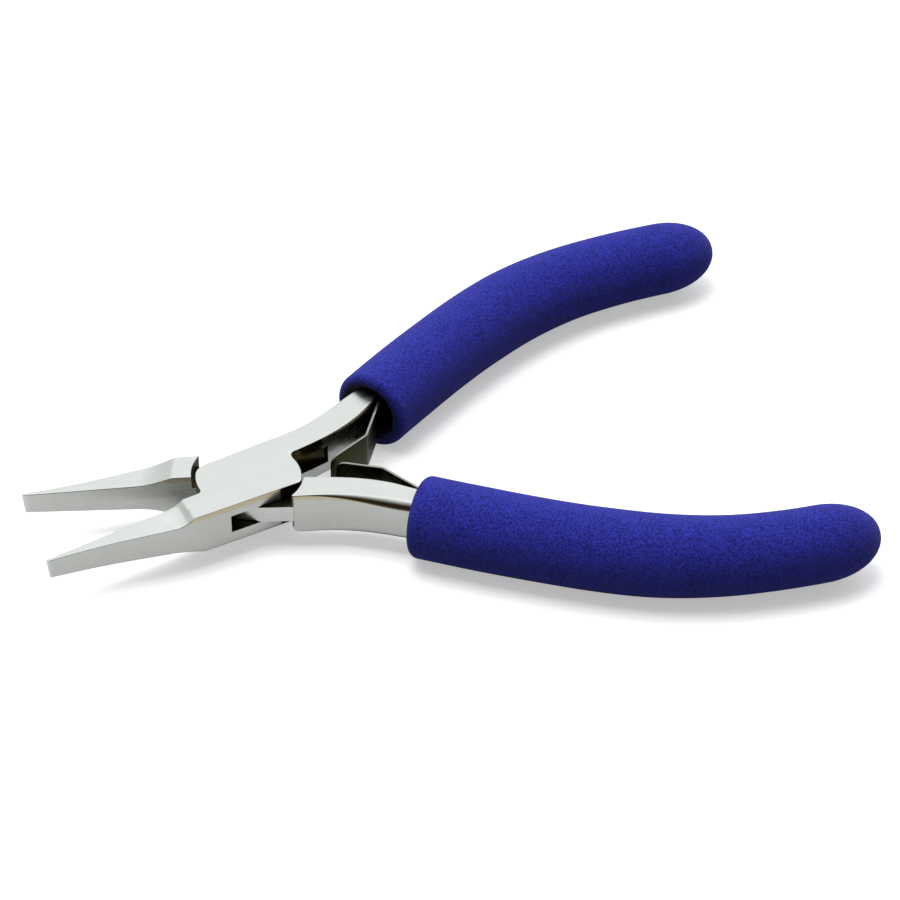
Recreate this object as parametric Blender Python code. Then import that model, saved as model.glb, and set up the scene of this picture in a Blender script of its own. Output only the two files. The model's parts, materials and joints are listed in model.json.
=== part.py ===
"""Flat nose pliers: box joint, twin leaf springs and foam sleeve grips.

Each half is drawn with the tool closed: the jaws' meeting plane is y = 0, the pivot axis is
the z axis through the origin, the jaws point to -x and the handles to +x. The two frames
then turn the halves apart about the pivot. The world origin is on the pivot axis, on the
underside of the joint.
"""
import math

import bmesh
import bpy
from mathutils import Vector

# opening
HALF_OPENING = math.radians(13.37)

# joint
JOINT_HALF_THICKNESS = 0.00375
CHEEK_RADIUS = 0.0087
CHEEK_FRONT_RADIUS = 0.00835
THROAT_RADIUS = 0.0008
SHOULDER_RADIUS = 0.00905
JAW_SHOULDER_RADIUS = 0.00935
JAW_SHOULDER_FLARE = 0.0004
SLOT_HALF_HEIGHT = 0.00165
TONGUE_HALF_HEIGHT = 0.00145
JOINT_ROOT_WIDTH = 0.0055
JOINT_ROOT_X = -0.0125

# pivot pin, blind in the upper cheek
PIN_RADIUS = 0.0025
PIN_CLEARANCE = 0.0001
PIN_SIDES = 40
PIN_TOP_COVER = 0.0011
BORE_TOP_COVER = 0.0008

# jaws
JAW_LENGTH = 0.037
JAW_WIDTHS = (
    (-0.0370, 0.00060),
    (-0.0325, 0.00125),
    (-0.0270, 0.00230),
    (-0.0226, 0.00335),
    (-0.0180, 0.00450),
    (-0.0165, 0.00480),
    (-0.0150, 0.00510),
    (-0.0140, 0.00525),
    (-0.0125, JOINT_ROOT_WIDTH),
    (-0.0112, JOINT_ROOT_WIDTH),
)
JAW_TIP_HALF_HEIGHT = 0.0018
JAW_ROOT_HALF_HEIGHT = 0.00245
JAW_RAMP_X = -0.0165
JAW_RAMP_POWER = 1.6
JAW_FACE_CLEARANCE = 0.00005

# arms and tangs
ARM_START_X = 0.007
ARM_INNER_START_X = 0.0087
ARM_END_X = 0.026
TANG_HALF_WIDTH = 0.0017
TANG_END_HALF_WIDTH = 0.0013
TANG_HALF_HEIGHT = 0.0034
TANG_END_HALF_HEIGHT = 0.0022
TANG_START = 0.008
TANG_LENGTH = 0.066
ARM_CHAMFER = (0.0008, 0.0020)

# grips
GRIP_START_OUTER = 0.0026
GRIP_START_INNER = 0.0019
GRIP_END_OUTER = 0.0826
GRIP_END_INNER = 0.0787
GRIP_RADIUS = 0.00686
GRIP_END_RADIUS = 0.0063
GRIP_NOSE_LENGTH = 0.0100
GRIP_COLLAR_EDGE = 0.0018
GRIP_DROP = 0.0002
GRIP_SIDES = 24
GRIP_WALL_GAP = 0.0003
GRIP_BORE_POWER = 5.0
SQUARE_REACH = 0.86
GRIP_MOUTH = (
    # depth from the collar, sideways shift, half across, half up, squareness
    (0.0003, -0.0003, 0.0046, 0.0048, 2.4),
    (0.0026, -0.00085, 0.0038, 0.0047, 4.0),
    (0.0106, -0.0009, 0.0033, 0.0044, 4.5),
    (0.0126, 0.0, 0.0024, 0.0042, 5.0),
)

# leaf springs
LEAF_THICKNESS = 0.0006
LEAF_HALF_WIDTH = 0.0033
LEAF_TIP = (0.0145, -0.00275)
LEAF_BEND = (0.02205, -0.0005)
LEAF_ROOT = (0.0290, 0.00685)
LEAF_BEND_RADIUS = 0.0012
LEAF_CORNER_RADIUS = 0.0015
LEAF_TIP_EXTRA = 0.0006
FOOT_LENGTH = 0.0085
FOOT_GAP = 0.0003
SCREW_RADIUS = 0.0008
SCREW_HEAD_RADIUS = 0.0016
SCREW_HEAD_HEIGHT = 0.0007
SCREW_DEPTH = 0.0020
SCREW_END_GAP = 0.0003
SCREW_CLEARANCE = 0.00015
SCREW_ALONG = 0.0048

UPWARD = (0.0, 0.0, 1.0)
CUT_OVERRUN = 0.001
SHARP_ANGLE = math.radians(35)


def make_material(name, colour, roughness, metallic):
    """A Principled BSDF of one colour."""
    material = bpy.data.materials.new(name)
    material.use_nodes = True
    shader = material.node_tree.nodes["Principled BSDF"]
    shader.inputs["Base Color"].default_value = (*colour, 1.0)
    shader.inputs["Roughness"].default_value = roughness
    shader.inputs["Metallic"].default_value = metallic
    return material


def make_frame(name, angle):
    """An empty on the pivot axis, halfway up the joint, that turns one half of the tool."""
    frame = bpy.data.objects.new(name, None)
    frame.location = (0.0, 0.0, JOINT_HALF_THICKNESS)
    frame.rotation_euler = (0.0, 0.0, angle)
    frame.empty_display_size = 0.01
    bpy.context.scene.collection.objects.link(frame)
    return frame


def make_object(name, bm, frame, material=None, location=(0.0, 0.0, 0.0)):
    """Turn a bmesh into an object under a frame, with its faces pointing out."""
    bmesh.ops.recalc_face_normals(bm, faces=bm.faces[:])
    mesh = bpy.data.meshes.new(name)
    bm.to_mesh(mesh)
    bm.free()
    mesh.shade_smooth()
    mesh.set_sharp_from_angle(angle=SHARP_ANGLE)
    item = bpy.data.objects.new(name, mesh)
    item.parent = frame
    item.location = location
    if material is not None:
        mesh.materials.append(material)
    bpy.context.scene.collection.objects.link(item)
    return item


def combine(target, bm, name, operation):
    """Add a Boolean to the target with a helper solid that stays out of the model."""
    helper = make_object(name, bm, target.parent)
    helper.display_type = "WIRE"
    helper.hide_render = True
    modifier = target.modifiers.new(name, "BOOLEAN")
    modifier.operation = operation
    modifier.solver = "EXACT"
    modifier.object = helper


def prism(outline, bottom, top):
    """A straight solid on a plan outline."""
    return loft([[(x, y, z) for x, y in outline] for z in (bottom, top)])


def loft(rings):
    """A closed solid through rings of equal point counts, with flat ends."""
    bm = bmesh.new()
    rows = [[bm.verts.new(point) for point in ring] for ring in rings]
    count = len(rows[0])
    for lower, upper in zip(rows, rows[1:]):
        for i in range(count):
            j = (i + 1) % count
            bm.faces.new((lower[i], lower[j], upper[j], upper[i]))
    bm.faces.new(rows[0])
    bm.faces.new(rows[-1])
    return bm


def cylinder(start, axis, length, radius, sides):
    """A closed cylinder from a start point along an axis."""
    axis = Vector(axis).normalized()
    across = axis.orthogonal().normalized()
    upward = axis.cross(across)
    rings = []
    for end in (Vector(start), Vector(start) + axis * length):
        ring = []
        for i in range(sides):
            turn = 2.0 * math.pi * i / sides
            offset = across * math.cos(turn) + upward * math.sin(turn)
            ring.append(end + offset * radius)
        rings.append(ring)
    return loft(rings)


def arc(radius, start, end, count, end_radius=None, centre=(0.0, 0.0)):
    """Points of an arc, about the pivot by default, from start to end in degrees."""
    points = []
    for i in range(count):
        amount = i / (count - 1)
        angle = math.radians(start + (end - start) * amount)
        size = radius if end_radius is None else radius + (end_radius - radius) * amount
        points.append((centre[0] + size * math.cos(angle), centre[1] + size * math.sin(angle)))
    return points


def blend(low, high, amount):
    """Smooth step from low to high as amount goes from 0 to 1."""
    amount = min(max(amount, 0.0), 1.0)
    amount = amount * amount * (3.0 - 2.0 * amount)
    return low + (high - low) * amount


def arm_inner(x):
    """Distance of an arm's inner edge from the meeting plane."""
    run = x - ARM_INNER_START_X
    return 0.0014 + 0.0933 * run + 10.24 * run * run


def arm_outer(x):
    """Distance of an arm's outer edge from the meeting plane."""
    run = x - ARM_START_X
    return 0.00635 - 0.025 * run + 11.94 * run * run


class Route:
    """The grips' centreline: a smooth curve measured by its length from the collar."""

    stations = (
        (0.0253, 0.00742),
        (0.035, 0.0116),
        (0.045, 0.0156),
        (0.055, 0.0191),
        (0.065, 0.02165),
        (0.075, 0.0226),
        (0.085, 0.02195),
        (0.095, 0.0202),
        (0.108, 0.0171),
    )

    def __init__(self):
        knots = [Vector(p) for p in self.stations]
        first = knots[0] * 2.0 - knots[1]
        last = knots[-1] * 2.0 - knots[-2]
        knots = [first, *knots, last]
        self.points = []
        for a, b, c, d in zip(knots, knots[1:], knots[2:], knots[3:]):
            for i in range(40):
                t = i / 40.0
                self.points.append(
                    0.5
                    * (
                        b * 2.0
                        + (c - a) * t
                        + (a * 2.0 - b * 5.0 + c * 4.0 - d) * t * t
                        + (b * 3.0 - a - c * 3.0 + d) * t * t * t
                    )
                )
        self.points.append(knots[-2])
        self.lengths = [0.0]
        for p, q in zip(self.points, self.points[1:]):
            self.lengths.append(self.lengths[-1] + (q - p).length)

    def at(self, length):
        """Point, direction and left-hand normal at a length along the route."""
        index = 1
        while index < len(self.lengths) - 1 and self.lengths[index] < length:
            index += 1
        p = self.points[index - 1]
        q = self.points[index]
        span = self.lengths[index] - self.lengths[index - 1]
        direction = (q - p).normalized()
        normal = Vector((-direction.y, direction.x))
        point = p + (q - p) * ((length - self.lengths[index - 1]) / span)
        return point, direction, normal

    def place(self, length, across, height, side):
        """A point off the route: across it in plan, and up."""
        point, _, normal = self.at(length)
        point = point + normal * across
        return (point.x, side * point.y, height)


ROUTE = Route()


def jaw(side):
    """One jaw: flat gripping face, tapered back, and hollow ramps up to the joint's faces."""
    rings = []
    for x, width in JAW_WIDTHS:
        rise = (x + JAW_LENGTH) / (JAW_RAMP_X + JAW_LENGTH)
        half = JAW_TIP_HALF_HEIGHT
        half += (JAW_ROOT_HALF_HEIGHT - JAW_TIP_HALF_HEIGHT) * min(rise, 1.0)
        ramp = min(max((x - JAW_RAMP_X) / (JOINT_ROOT_X - JAW_RAMP_X), 0.0), 1.0)
        half += (JOINT_HALF_THICKNESS - half) * ramp ** JAW_RAMP_POWER
        inner = -side * JAW_FACE_CLEARANCE
        outer = -side * width
        rings.append(
            [(x, inner, -half), (x, outer, -half), (x, outer, half), (x, inner, half)]
        )
    return loft(rings)


def arm(side):
    """One arm from the joint into its grip, then the tang along the grip's centre."""
    rings = []
    for x in (0.0095, 0.012, 0.015, 0.018, 0.021, 0.0235):
        amount = (x - ARM_START_X) / (ARM_END_X - ARM_START_X)
        inset = ARM_CHAMFER[0] * amount
        drop = ARM_CHAMFER[1] * amount
        inner = arm_inner(x)
        outer = arm_outer(x)
        half = JOINT_HALF_THICKNESS
        section = (
            (inner, -half),
            (outer - inset, -half),
            (outer, drop - half),
            (outer, half - drop),
            (outer - inset, half),
            (inner, half),
        )
        rings.append([(x, side * y, z) for y, z in section])
    for length in (0.0014, 0.0045, 0.008, 0.014, 0.022, 0.030, 0.040, 0.050, 0.058, TANG_LENGTH):
        amount = (length - TANG_START) / (TANG_LENGTH - TANG_START)
        width = TANG_HALF_WIDTH + (TANG_END_HALF_WIDTH - TANG_HALF_WIDTH) * max(amount, 0.0)
        inner = -blend(0.0014, width, length / TANG_START)
        outer = blend(0.00222, width, length / 0.014)
        half = blend(JOINT_HALF_THICKNESS, TANG_HALF_HEIGHT, (length - 0.004) / 0.012)
        half = half + (TANG_END_HALF_HEIGHT - half) * max(amount, 0.0)
        inset = blend(ARM_CHAMFER[0], 0.0005, length / 0.014)
        drop = blend(ARM_CHAMFER[1], 0.0010, length / 0.014)
        section = (
            (inner, -half),
            (outer - inset, -half),
            (outer, drop - half),
            (outer, half - drop),
            (outer - inset, half),
            (inner, half),
        )
        rings.append([ROUTE.place(length, n, z, side) for n, z in section])
    return loft(rings)


def outer_plate():
    """Plan outline of the outer half's joint: two cheeks with round ends."""
    points = [(JOINT_ROOT_X, -JAW_FACE_CLEARANCE)]
    rise = THROAT_RADIUS - JAW_FACE_CLEARANCE
    reach = CHEEK_RADIUS + THROAT_RADIUS
    throat = (-math.sqrt(reach * reach - rise * rise), rise)
    turn = math.degrees(math.atan2(rise, -throat[0]))
    points += arc(THROAT_RADIUS, -90.0, -turn, 6, centre=throat)
    points += arc(CHEEK_RADIUS, 178.0 - turn, 138.0, 9)
    points += [(-0.0032, 0.0061), (ARM_START_X, arm_outer(ARM_START_X))]
    points += [(x, arm_outer(x)) for x in (0.0095, 0.0120)]
    points += [(x, arm_inner(x)) for x in (0.0120, 0.0104)]
    points += arc(CHEEK_FRONT_RADIUS, 8.0, 0.0, 3)
    points += arc(CHEEK_FRONT_RADIUS, -5.0, -44.8, 9, CHEEK_RADIUS)
    points += [(JOINT_ROOT_X, -JOINT_ROOT_WIDTH)]
    return points


def inner_plate():
    """Plan outline of the inner half's joint: the waisted tongue and its two shoulders."""
    points = [(JOINT_ROOT_X, JAW_FACE_CLEARANCE), (-0.0086, JAW_FACE_CLEARANCE)]
    points += [(-0.0053, -0.00385), (0.00175, -0.00606), (ARM_START_X, -0.00635)]
    points += [(x, -arm_outer(x)) for x in (0.0095, 0.0120)]
    points += [(x, -arm_inner(x)) for x in (0.0120, 0.0090)]
    points += [(0.00835, -0.0009), (0.0053, 0.00385), (-0.00175, 0.00606)]
    points += [(-0.0066, 0.0059), (JOINT_ROOT_X, JOINT_ROOT_WIDTH)]
    return points


def shoulder_cut(bottom, top):
    """The round space over the tongue, wider towards the jaw, that clears the cheeks."""
    flare = JAW_SHOULDER_RADIUS + JAW_SHOULDER_FLARE
    outline = arc(SHOULDER_RADIUS, -90.0, 90.0, 37)
    outline += arc(SHOULDER_RADIUS, 95.0, 140.0, 10, flare)
    outline += arc(flare, 145.0, 180.0, 8, JAW_SHOULDER_RADIUS)
    outline += arc(JAW_SHOULDER_RADIUS, 185.0, 265.0, 17)
    return prism(outline, bottom, top)


def slot_outline():
    """Plan outline of the opening between the cheeks that the tongue turns in."""
    return [
        (-0.0065, -0.0090),
        (-0.0065, -0.0056),
        (-0.0092, 0.0000),
        (-0.0130, 0.0003),
        (-0.0130, 0.0090),
        (0.0062, 0.0090),
        (0.0062, 0.0064),
        (0.0076, 0.0042),
        (0.0158, 0.0028),
        (0.0163, 0.0018),
        (0.0163, -0.0010),
        (0.0120, -0.0090),
    ]


def leaf_route():
    """Centreline of a leaf's free blade, from its tip over the bend to its root."""
    tip = Vector(LEAF_TIP)
    bend = Vector(LEAF_BEND)
    root = Vector(LEAF_ROOT)
    before = (tip - bend).normalized()
    after = (root - bend).normalized()
    half_turn = before.angle(after) / 2.0
    setback = LEAF_BEND_RADIUS / math.tan(half_turn)
    middle = bend + (before + after).normalized() * (LEAF_BEND_RADIUS / math.sin(half_turn))
    points = [tip]
    start = bend + before * setback - middle
    end = bend + after * setback - middle
    for i in range(5):
        offset = start.lerp(end, i / 4.0).normalized() * LEAF_BEND_RADIUS
        points.append(middle + offset)
    points.append(root)
    return points


def leaf_blade(side, extra):
    """The free blade of one leaf, with a round-cornered end, drawn about its root."""
    route = leaf_route()
    direction = (route[0] - route[1]).normalized()
    tip = route[0] + direction * extra
    steps = [0.0, 0.0002, 0.0006, LEAF_CORNER_RADIUS]
    route = [tip - direction * step for step in steps] + route[1:]
    rings = []
    for i, point in enumerate(route):
        before = route[max(i - 1, 0)]
        after = route[min(i + 1, len(route) - 1)]
        along = (after - before).normalized()
        across = Vector((-along.y, along.x)) * (LEAF_THICKNESS / 2.0)
        run = (point - tip).length
        half = LEAF_HALF_WIDTH
        if run < LEAF_CORNER_RADIUS:
            inset = LEAF_CORNER_RADIUS - run
            half -= LEAF_CORNER_RADIUS
            half += math.sqrt(LEAF_CORNER_RADIUS ** 2 - inset ** 2)
        ring = []
        for offset, height in ((across, -half), (-across, -half), (-across, half), (across, half)):
            place = point + offset - Vector(LEAF_ROOT)
            ring.append((place.x, side * place.y, height))
        rings.append(ring)
    return loft(rings)


def foot_point(side, along, across, height):
    """A point of a leaf's foot: along the tang from the root's gap, into the tang, and up."""
    _, direction, normal = ROUTE.at(TANG_START)
    place = Vector(LEAF_ROOT) + direction * (FOOT_GAP + along) + normal * across
    return Vector((place.x, side * place.y, height))


def leaf_foot(side):
    """The clamped end of one leaf, flat against the tang."""
    half = LEAF_THICKNESS / 2.0
    rings = []
    for along in (0.0, FOOT_LENGTH):
        corners = ((-half, -LEAF_HALF_WIDTH), (half, -LEAF_HALF_WIDTH))
        corners += ((half, LEAF_HALF_WIDTH), (-half, LEAF_HALF_WIDTH))
        rings.append([foot_point(side, along, across, height) for across, height in corners])
    return loft(rings)


def screw_cylinder(side, start, end, radius, sides):
    """A cylinder on the leaf screw's axis, from start to end into the tang."""
    first = foot_point(side, SCREW_ALONG, start, 0.0)
    last = foot_point(side, SCREW_ALONG, end, 0.0)
    return cylinder(first, last - first, (last - first).length, radius, sides)


def leaf_screw(side):
    """A cheese-head screw that holds the foot to the tang, turned from one profile."""
    half = LEAF_THICKNESS / 2.0
    head = -half - 0.0002
    profile = (
        (head - SCREW_HEAD_HEIGHT, SCREW_HEAD_RADIUS * 0.86),
        (head - SCREW_HEAD_HEIGHT * 0.7, SCREW_HEAD_RADIUS),
        (head, SCREW_HEAD_RADIUS),
        (head, SCREW_RADIUS),
        (half + SCREW_DEPTH - 0.0003, SCREW_RADIUS),
        (half + SCREW_DEPTH, SCREW_RADIUS * 0.5),
    )
    rings = []
    first = foot_point(side, SCREW_ALONG, 0.0, 0.0)
    axis = (foot_point(side, SCREW_ALONG, 0.001, 0.0) - first).normalized()
    across = Vector((0.0, 0.0, 1.0))
    other = axis.cross(across)
    for depth, radius in profile:
        ring = []
        for i in range(16):
            turn = 2.0 * math.pi * i / 16
            offset = across * math.cos(turn) + other * math.sin(turn)
            ring.append(first + axis * depth + offset * radius)
        rings.append(ring)
    return loft(rings)


def oval(length, middle, half_across, half_up, power, side, drop=0.0):
    """A ring across the route: a superellipse, round at power 2 and squarer above it."""
    ring = []
    for i in range(GRIP_SIDES):
        turn = 2.0 * math.pi * (i + 0.5) / GRIP_SIDES
        c = math.cos(turn)
        s = math.sin(turn)
        across = math.copysign(abs(c) ** (2.0 / power), c) * half_across
        height = math.copysign(abs(s) ** (2.0 / power), s) * half_up
        ring.append(ROUTE.place(length, middle + across, height - drop, side))
    return ring


def grip_radius(length, end):
    """Outer radius of a grip along its barrel: full at the collar, slimmer near the end."""
    return blend(GRIP_RADIUS, GRIP_END_RADIUS, (length - 0.032) / (end - 0.037))


def grip(side, start, end):
    """One foam sleeve: bullet-shaped closed end, rounded collar, and a bore over the tang."""
    rings = []
    shoulder = end - GRIP_NOSE_LENGTH
    for turn in (84.0, 72.0, 57.0, 39.0, 20.0):
        angle = math.radians(turn)
        length = shoulder + GRIP_NOSE_LENGTH * math.sin(angle)
        radius = grip_radius(shoulder, end) * math.cos(angle) ** 0.94
        rings.append(oval(length, 0.0, radius, radius, 2.0, side, GRIP_DROP))
    collar = start + GRIP_COLLAR_EDGE
    count = 13
    for i in range(count):
        length = shoulder + (collar - shoulder) * i / (count - 1)
        radius = grip_radius(length, end)
        rings.append(oval(length, 0.0, radius, radius, 2.0, side, GRIP_DROP))
    for turn in (30.0, 60.0, 85.0):
        angle = math.radians(turn)
        length = collar - GRIP_COLLAR_EDGE * math.sin(angle)
        radius = GRIP_RADIUS - GRIP_COLLAR_EDGE * (1.0 - math.cos(angle))
        rings.append(oval(length, 0.0, radius, radius, 2.0, side, GRIP_DROP))
    for depth, middle, across, upward, power in GRIP_MOUTH:
        rings.append(oval(start + depth, middle, across, upward, power, side))
    for length in (0.024, 0.036, 0.048, 0.058, TANG_LENGTH + 0.001):
        amount = (length - TANG_START) / (TANG_LENGTH - TANG_START)
        width = TANG_HALF_WIDTH + (TANG_END_HALF_WIDTH - TANG_HALF_WIDTH) * amount
        half = TANG_HALF_HEIGHT + (TANG_END_HALF_HEIGHT - TANG_HALF_HEIGHT) * amount
        across = (width + GRIP_WALL_GAP) / SQUARE_REACH
        upward = (half + GRIP_WALL_GAP) / SQUARE_REACH
        rings.append(oval(length, 0.0, across, upward, GRIP_BORE_POWER, side))
    return loft(rings)


def build_half(name, frame, plate, side, material):
    """Join one half's joint plate, jaw and arm into a single forging."""
    body = prism(plate, -JOINT_HALF_THICKNESS, JOINT_HALF_THICKNESS)
    item = make_object(name, body, frame, material)
    combine(item, jaw(side), name + "_jaw_solid", "UNION")
    combine(item, arm(side), name + "_arm_solid", "UNION")
    depth = LEAF_THICKNESS / 2.0 + SCREW_DEPTH + SCREW_END_GAP
    hole = screw_cylinder(side, 0.0, depth, SCREW_RADIUS + SCREW_CLEARANCE, 16)
    combine(item, hole, name + "_screw_hole", "DIFFERENCE")
    return item


def build_outer(frame, steel):
    """The half with the two cheeks: slotted for the tongue and bored for the pin."""
    outer = build_half("outer_half", frame, outer_plate(), 1.0, steel)
    slot = prism(slot_outline(), -SLOT_HALF_HEIGHT, SLOT_HALF_HEIGHT)
    combine(outer, slot, "tongue_slot", "DIFFERENCE")
    start = (0.0, 0.0, -JOINT_HALF_THICKNESS - CUT_OVERRUN)
    length = 2.0 * JOINT_HALF_THICKNESS + CUT_OVERRUN - BORE_TOP_COVER
    bore = cylinder(start, UPWARD, length, PIN_RADIUS + PIN_CLEARANCE, PIN_SIDES)
    combine(outer, bore, "cheek_bore", "DIFFERENCE")


def build_inner(frame, steel):
    """The half with the tongue: cleared above and below it, and bored for the pin."""
    inner = build_half("inner_half", frame, inner_plate(), -1.0, steel)
    reach = JOINT_HALF_THICKNESS + CUT_OVERRUN
    combine(inner, shoulder_cut(TONGUE_HALF_HEIGHT, reach), "top_clearance", "DIFFERENCE")
    combine(inner, shoulder_cut(-reach, -TONGUE_HALF_HEIGHT), "bottom_clearance", "DIFFERENCE")
    bore = cylinder((0.0, 0.0, -reach), UPWARD, 2.0 * reach, PIN_RADIUS + PIN_CLEARANCE, PIN_SIDES)
    combine(inner, bore, "tongue_bore", "DIFFERENCE")


def build():
    """Build the whole tool."""
    steel = make_material("satin_steel", (0.72, 0.71, 0.69), 0.32, 1.0)
    spring_steel = make_material("spring_steel", (0.24, 0.24, 0.21), 0.28, 1.0)
    foam = make_material("blue_foam", (0.03, 0.03, 0.33), 0.92, 0.0)

    outer_frame = make_frame("outer_half_frame", HALF_OPENING)
    inner_frame = make_frame("inner_half_frame", -HALF_OPENING)
    build_outer(outer_frame, steel)
    build_inner(inner_frame, steel)

    length = 2.0 * JOINT_HALF_THICKNESS - PIN_TOP_COVER
    pin = cylinder((0.0, 0.0, -JOINT_HALF_THICKNESS), UPWARD, length, PIN_RADIUS, PIN_SIDES)
    make_object("pivot_pin", pin, outer_frame, steel)

    for prefix, frame, side, extra, start, end in (
        ("outer", outer_frame, 1.0, LEAF_TIP_EXTRA, GRIP_START_OUTER, GRIP_END_OUTER),
        ("inner", inner_frame, -1.0, 0.0, GRIP_START_INNER, GRIP_END_INNER),
    ):
        root = (LEAF_ROOT[0], side * LEAF_ROOT[1], 0.0)
        make_object(prefix + "_leaf_blade", leaf_blade(side, extra), frame, spring_steel, root)
        foot = make_object(prefix + "_leaf_foot", leaf_foot(side), frame, spring_steel)
        hole = screw_cylinder(side, -0.001, 0.001, SCREW_RADIUS + SCREW_CLEARANCE, 16)
        combine(foot, hole, prefix + "_foot_hole", "DIFFERENCE")
        make_object(prefix + "_leaf_screw", leaf_screw(side), frame, steel)
        make_object(prefix + "_grip", grip(side, start, end), frame, foam)


for old in list(bpy.data.objects):
    bpy.data.objects.remove(old, do_unlink=True)
build()
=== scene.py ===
"""Looks of the flat nose pliers: ground steel halves, bent leaf springs and foam sleeves.

Shapes are drawn in millimetres in the closed frame of each half: the pivot axis is the z axis,
the jaws point to -x, the handles to +x, the meeting plane is y = 0 and z is measured from
halfway up the joint. Each piece is then turned about the pivot and rides on its CAD body.
"""

import json
import math

import bmesh
import bpy
from mathutils import Matrix, Vector
from mathutils.geometry import delaunay_2d_cdt

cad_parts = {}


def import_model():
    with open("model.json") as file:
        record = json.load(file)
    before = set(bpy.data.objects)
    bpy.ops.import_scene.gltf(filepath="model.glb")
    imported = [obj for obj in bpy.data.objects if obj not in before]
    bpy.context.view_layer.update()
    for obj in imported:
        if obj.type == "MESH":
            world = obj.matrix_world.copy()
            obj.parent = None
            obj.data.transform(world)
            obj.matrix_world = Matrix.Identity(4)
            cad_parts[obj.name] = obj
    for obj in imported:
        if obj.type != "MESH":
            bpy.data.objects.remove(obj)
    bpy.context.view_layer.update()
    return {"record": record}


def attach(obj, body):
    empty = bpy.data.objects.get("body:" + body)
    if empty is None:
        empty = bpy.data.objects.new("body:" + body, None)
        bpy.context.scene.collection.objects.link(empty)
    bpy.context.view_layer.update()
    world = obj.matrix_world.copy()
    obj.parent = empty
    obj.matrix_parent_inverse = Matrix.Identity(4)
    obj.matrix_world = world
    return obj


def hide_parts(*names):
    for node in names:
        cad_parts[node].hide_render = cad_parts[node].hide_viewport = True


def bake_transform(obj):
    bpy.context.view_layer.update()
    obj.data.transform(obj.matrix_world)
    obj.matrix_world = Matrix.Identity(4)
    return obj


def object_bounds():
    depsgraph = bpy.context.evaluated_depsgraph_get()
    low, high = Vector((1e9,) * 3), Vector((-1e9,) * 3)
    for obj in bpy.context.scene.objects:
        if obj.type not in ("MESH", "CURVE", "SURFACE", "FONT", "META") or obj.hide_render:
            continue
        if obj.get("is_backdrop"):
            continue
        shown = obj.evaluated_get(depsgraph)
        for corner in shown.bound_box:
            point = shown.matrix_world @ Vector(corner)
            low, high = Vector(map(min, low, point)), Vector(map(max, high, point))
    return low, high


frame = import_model()

MM = 0.001
RECORD = frame["record"]
JOINTS = {joint["name"]: joint for joint in RECORD["behaviour"]["joints"]}
MOUNTS = {mount["name"]: mount for mount in RECORD["mounts"]}
PIVOT = Vector(JOINTS["pivot"]["pos_m"])
FACE_AXIS = MOUNTS["outer_jaw_face"]["axis"]
HALF_OPENING = math.atan2(-FACE_AXIS[0], FACE_AXIS[1])
JOINT_HALF = PIVOT.z / MM

# plan sizes, mm
FACE_GAP = 0.05
JAW_LENGTH = 37.0
PLATE_RADIUS = 8.7
THROAT_RADIUS = 0.8
SLOT_HALF = 1.65
TONGUE_HALF = 1.45
PIN_RADIUS = 2.5
PIN_GAP = 0.1
PIN_TOP_COVER = 1.1
BORE_TOP_COVER = 0.8
JAW_BACK = (
    (-37.0, 0.55), (-32.5, 1.25), (-27.0, 2.3), (-22.6, 3.35), (-18.0, 4.5), (-15.0, 5.15),
    (-12.6, 5.5), (-6.0, 5.78), (6.1, 6.15),
)
PLATE_CORNER = (-4.78, 3.1)
PLATE_CORNER_RADIUS = 3.0
PLATE_END_RADIUS = 8.35
ARM_SHOULDER_RADIUS = 9.05
JAW_SHOULDER_RADII = (9.35, 9.75)
SHOULDER_ROUND = 1.25
ARM_INNER_START, ARM_INNER_CURVE = 8.7, (1.4, 0.0933, 0.01024)
ARM_OUTER_START, ARM_OUTER_CURVE = 7.0, (6.35, -0.025, 0.01194)
ARM_END = 23.5
ARM_SWELL = 0.9
ARM_BULGE = 0.65
TANG_ROOT = 8.0
TANG_LENGTH = 66.0
TANG_HALF_WIDTHS = (1.7, 1.3)
TANG_HALF_HEIGHTS = (3.4, 2.2)
TANG_TAPER = 1.2
ROUND_SIDES = 72

SHARP = math.radians(31.0)


# ---------------------------------------------------------------- numbers and curves

def mix(low, high, amount):
    """Straight blend, held at the ends."""
    amount = min(max(amount, 0.0), 1.0)
    return low + (high - low) * amount


def ease(low, high, amount):
    """Smooth blend, held at the ends."""
    amount = min(max(amount, 0.0), 1.0)
    return mix(low, high, amount * amount * (3.0 - 2.0 * amount))


def table(rows, x):
    """Value at x on a smooth curve through (x, value) rows."""
    if x <= rows[0][0]:
        return rows[0][1]
    if x >= rows[-1][0]:
        return rows[-1][1]
    index = 1
    while rows[index][0] < x:
        index += 1
    x1, b = rows[index - 1]
    x2, c = rows[index]
    x0, a = rows[index - 2] if index > 1 else (2 * x1 - x2, 2 * b - c)
    x3, d = rows[index + 1] if index + 1 < len(rows) else (2 * x2 - x1, 2 * c - b)
    step = x2 - x1
    t = (x - x1) / step
    m1 = (c - a) / (x2 - x0) * step
    m2 = (d - b) / (x3 - x1) * step
    t2 = t * t
    t3 = t2 * t
    start = (2 * t3 - 3 * t2 + 1) * b + (t3 - 2 * t2 + t) * m1
    return start + (3 * t2 - 2 * t3) * c + (t3 - t2) * m2


def spread(first, last, step):
    """Evenly spaced numbers from first to last, about step apart."""
    count = max(2, round(abs(last - first) / step) + 1)
    return [first + (last - first) * i / (count - 1) for i in range(count)]


def parabola(curve, run):
    """Value of a curve (height, slope, bend) at a run from its start."""
    height, slope, bend = curve
    return height + slope * run + bend * run * run


def arm_inner(x):
    """Distance of an arm's inner edge from the meeting plane."""
    plain = parabola(ARM_INNER_CURVE, x - ARM_INNER_START)
    return plain - ease(0.0, ARM_SWELL, (x - 8.0) / 14.0)


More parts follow.
